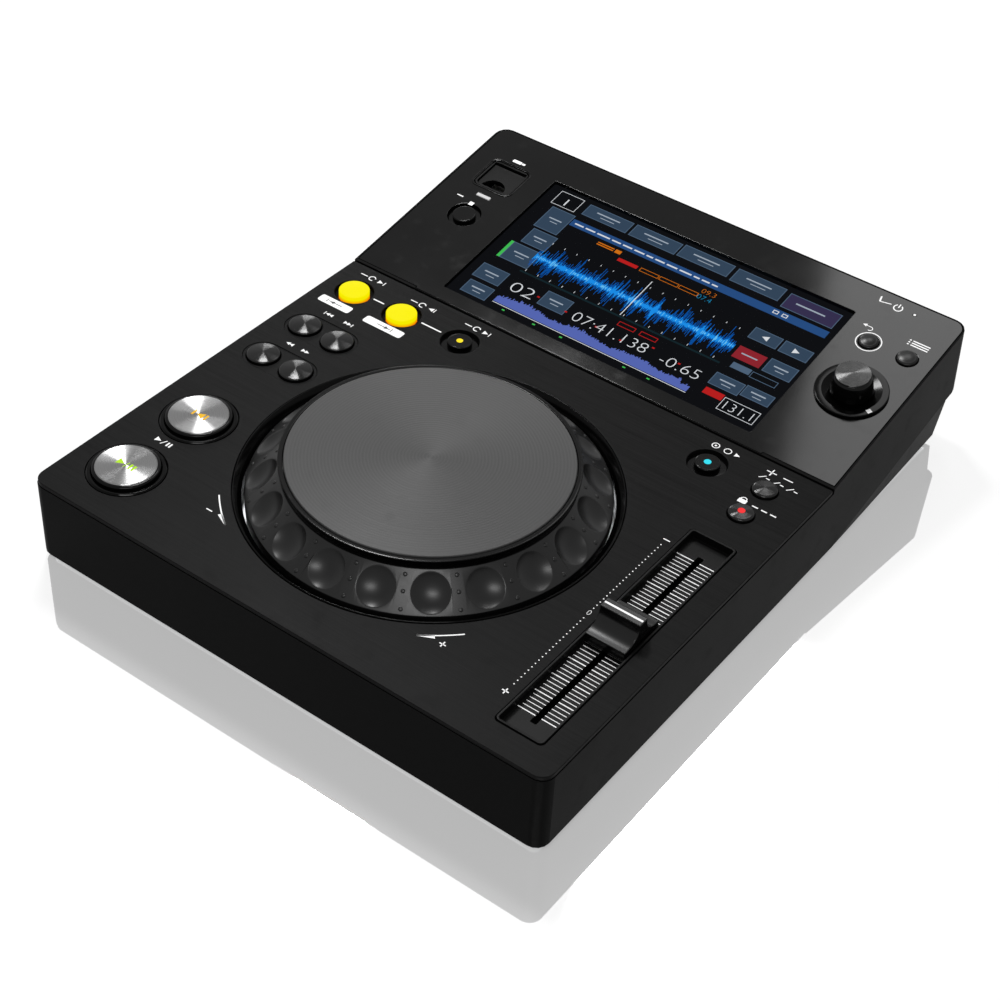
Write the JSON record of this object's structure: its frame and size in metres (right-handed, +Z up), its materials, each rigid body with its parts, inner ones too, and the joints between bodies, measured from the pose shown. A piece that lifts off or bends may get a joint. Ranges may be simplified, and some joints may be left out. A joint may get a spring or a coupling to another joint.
{
  "type": "dj multi player",
  "caption": "Tabletop music player for mixing: jog wheel, push keys and a tempo slider on a flat deck, and a tilted head with a touch screen, stick port and selector.",
  "frame": {"origin": "centre of the outer box at its lowest face, where the feet meet the table", "axes": "+X to the right as the user faces the deck, +Y from the front edge to the rear sockets, +Z up"},
  "size_m": [0.24, 0.301, 0.0587],
  "materials": {
    "case_black": "satin black moulding with a fine grain",
    "deck_black": "black anodised sheet, brushed from side to side",
    "face_black": "glossy black face",
    "base_steel": "zinc-plated sheet",
    "screw_steel": "black-zinc plated",
    "foot_rubber": "matte black",
    "well_gloss": "gloss black",
    "pan_steel": "zinc-plated",
    "ring_satin": "satin black",
    "trim_gloss": "gloss black",
    "hub_plastic": "black moulding",
    "plate_alloy": "satin dark grey with fine turned grooves",
    "bezel_black": "satin black",
    "track_steel": "zinc-plated",
    "slider_black": "satin black",
    "screen_glass": "clear polished sheet",
    "screen_shell": "pressed sheet frame",
    "board_green": "green lacquered board",
    "port_black": "satin black",
    "socket_steel": "nickel-plated",
    "lamp_white": "clear white light guide",
    "dish_gloss": "gloss black",
    "knob_black": "gloss black, fluted",
    "knob_metal": "dark spun metal",
    "rotor_steel": "zinc-plated",
    "key_gloss": "gloss black",
    "key_lit": "yellow, lit from inside",
    "ring_key_black": "gloss black",
    "key_satin": "satin black",
    "disc_metal": "bright spun metal",
    "collar_gloss": "gloss black",
    "inlet_black": "matte black",
    "power_black": "matte black"
  },
  "bodies": {
    "chassis": {"deck_case": "case_black", "head_case": "case_black", "bottom_plate": "base_steel", "front_panel": "case_black", "deck_plate": "deck_black", "screw_front_left": "screw_steel", "screw_front_right": "screw_steel", "screw_rear_left": "screw_steel", "screw_rear_right": "screw_steel", "foot_front_left": "foot_rubber", "foot_front_right": "foot_rubber", "foot_rear_left": "foot_rubber", "foot_rear_right": "foot_rubber", "jog_well_ring": "well_gloss", "jog_base": "pan_steel", "slider_bezel": "bezel_black", "slider_body": "track_steel", "face_plate": "face_black", "touch_glass": "screen_glass", "screen_module": "screen_shell", "head_board": "board_green", "port_well": "port_black", "stick_socket": "socket_steel", "port_lamp": "lamp_white", "selector_dish": "dish_gloss", "play_collar": "collar_gloss", "cue_collar": "collar_gloss", "deck_board": "board_green", "main_board": "board_green", "power_supply": "board_green", "line_out_jacks": "socket_steel", "network_socket": "socket_steel", "computer_socket": "socket_steel", "mains_inlet": "inlet_black"},
    "jog": {"jog_ring": "ring_satin", "jog_trim_ring": "trim_gloss", "jog_hub": "hub_plastic"},
    "jog_top": {"jog_plate": "plate_alloy"},
    "tempo_slider": {"slider_cap": "slider_black", "slider_carriage": "track_steel"},
    "selector_spindle": {"selector_rotor": "rotor_steel"},
    "selector": {"selector_knob": "knob_black", "selector_cap": "knob_metal"},
    "play_key": {"play_button": "disc_metal"},
    "cue_key": {"cue_button": "disc_metal"},
    "search_back_key": {"search_back_button": "key_gloss"},
    "search_forward_key": {"search_forward_button": "key_gloss"},
    "track_back_key": {"track_back_button": "key_gloss"},
    "track_forward_key": {"track_forward_button": "key_gloss"},
    "loop_in_key": {"loop_in_button": "key_lit"},
    "loop_out_key": {"loop_out_button": "key_lit"},
    "reloop_key": {"reloop_button": "ring_key_black"},
    "jog_mode_key": {"jog_mode_button": "ring_key_black"},
    "tempo_range_key": {"tempo_range_button": "key_gloss"},
    "tempo_lock_key": {"tempo_lock_button": "key_gloss"},
    "stick_stop_key": {"stick_stop_button": "ring_key_black"},
    "back_key": {"back_button": "key_satin"},
    "tag_key": {"tag_button": "key_satin"},
    "power_switch": {"power_button": "power_black"},
    "port_lid": {"port_cover": "port_black"}
  },
  "joints": [
    {"name": "jog_spin", "type": "hinge", "parent": "chassis", "child": "jog", "pos_m": [-0.0017, -0.05721, 0.0484], "axis": [0, 0, 1], "continuous": true},
    {"name": "jog_press", "type": "slide", "parent": "jog", "child": "jog_top", "axis": [0, 0, -1], "range_m": [0, 0.0005], "stiffness_N_per_m": 6000, "springref_m": -0.0003},
    {"name": "tempo_slide", "type": "slide", "parent": "chassis", "child": "tempo_slider", "axis": [0, 1, 0], "range_m": [-0.05, 0.05]},
    {"name": "selector_spin", "type": "hinge", "parent": "chassis", "child": "selector_spindle", "pos_m": [0.0987, 0.08857, 0.04736], "axis": [0, -0.1702, 0.9854], "continuous": true},
    {"name": "selector_press", "type": "slide", "parent": "selector_spindle", "child": "selector", "axis": [0, 0.1702, -0.9854], "range_m": [0, 0.0008], "stiffness_N_per_m": 1500, "springref_m": -0.0004},
    {"name": "play_press", "type": "slide", "parent": "chassis", "child": "play_key", "axis": [0, 0, -1], "range_m": [0, 0.001], "stiffness_N_per_m": 2000, "springref_m": -0.0003},
    {"name": "cue_press", "type": "slide", "parent": "chassis", "child": "cue_key", "axis": [0, 0, -1], "range_m": [0, 0.001], "stiffness_N_per_m": 2000, "springref_m": -0.0003},
    {"name": "search_back_press", "type": "slide", "parent": "chassis", "child": "search_back_key", "axis": [0, 0, -1], "range_m": [0, 0.0008], "stiffness_N_per_m": 1200, "springref_m": -0.0003},
    {"name": "search_forward_press", "type": "slide", "parent": "chassis", "child": "search_forward_key", "axis": [0, 0, -1], "range_m": [0, 0.0008], "stiffness_N_per_m": 1200, "springref_m": -0.0003},
    {"name": "track_back_press", "type": "slide", "parent": "chassis", "child": "track_back_key", "axis": [0, 0, -1], "range_m": [0, 0.0008], "stiffness_N_per_m": 1200, "springref_m": -0.0003},
    {"name": "track_forward_press", "type": "slide", "parent": "chassis", "child": "track_forward_key", "axis": [0, 0, -1], "range_m": [0, 0.0008], "stiffness_N_per_m": 1200, "springref_m": -0.0003},
    {"name": "loop_in_press", "type": "slide", "parent": "chassis", "child": "loop_in_key", "axis": [0, 0, -1], "range_m": [0, 0.001], "stiffness_N_per_m": 1200, "springref_m": -0.0003},
    {"name": "loop_out_press", "type": "slide", "parent": "chassis", "child": "loop_out_key", "axis": [0, 0, -1], "range_m": [0, 0.001], "stiffness_N_per_m": 1200, "springref_m": -0.0003},
    {"name": "reloop_press", "type": "slide", "parent": "chassis", "child": "reloop_key", "axis": [0, 0, -1], "range_m": [0, 0.0006], "stiffness_N_per_m": 1200, "springref_m": -0.0003},
    {"name": "jog_mode_press", "type": "slide", "parent": "chassis", "child": "jog_mode_key", "axis": [0, 0, -1], "range_m": [0, 0.0006], "stiffness_N_per_m": 1200, "springref_m": -0.0003},
    {"name": "tempo_range_press", "type": "slide", "parent": "chassis", "child": "tempo_range_key", "axis": [0, 0, -1], "range_m": [0, 0.0006], "stiffness_N_per_m": 1200, "springref_m": -0.0003},
    {"name": "tempo_lock_press", "type": "slide", "parent": "chassis", "child": "tempo_lock_key", "axis": [0, 0, -1], "range_m": [0, 0.0006], "stiffness_N_per_m": 1200, "springref_m": -0.0003},
    {"name": "stick_stop_press", "type": "slide", "parent": "chassis", "child": "stick_stop_key", "axis": [0, 0.1702, -0.9854], "range_m": [0, 0.0006], "stiffness_N_per_m": 1200, "springref_m": -0.0003},
    {"name": "back_press", "type": "slide", "parent": "chassis", "child": "back_key", "axis": [0, 0.1702, -0.9854], "range_m": [0, 0.0006], "stiffness_N_per_m": 1200, "springref_m": -0.0003},
    {"name": "tag_press", "type": "slide", "parent": "chassis", "child": "tag_key", "axis": [0, 0.1702, -0.9854], "range_m": [0, 0.0006], "stiffness_N_per_m": 1200, "springref_m": -0.0003},
    {"name": "power_press", "type": "slide", "parent": "chassis", "child": "power_switch", "axis": [0, -1, 0], "range_m": [0, 0.0012], "stiffness_N_per_m": 1000, "springref_m": -0.0003},
    {"name": "port_lid_hinge", "type": "hinge", "parent": "chassis", "child": "port_lid", "pos_m": [-0.09865, 0.12431, 0.05165], "axis": [-1, 0, 0], "range_deg": [0, 100]}
  ]
}
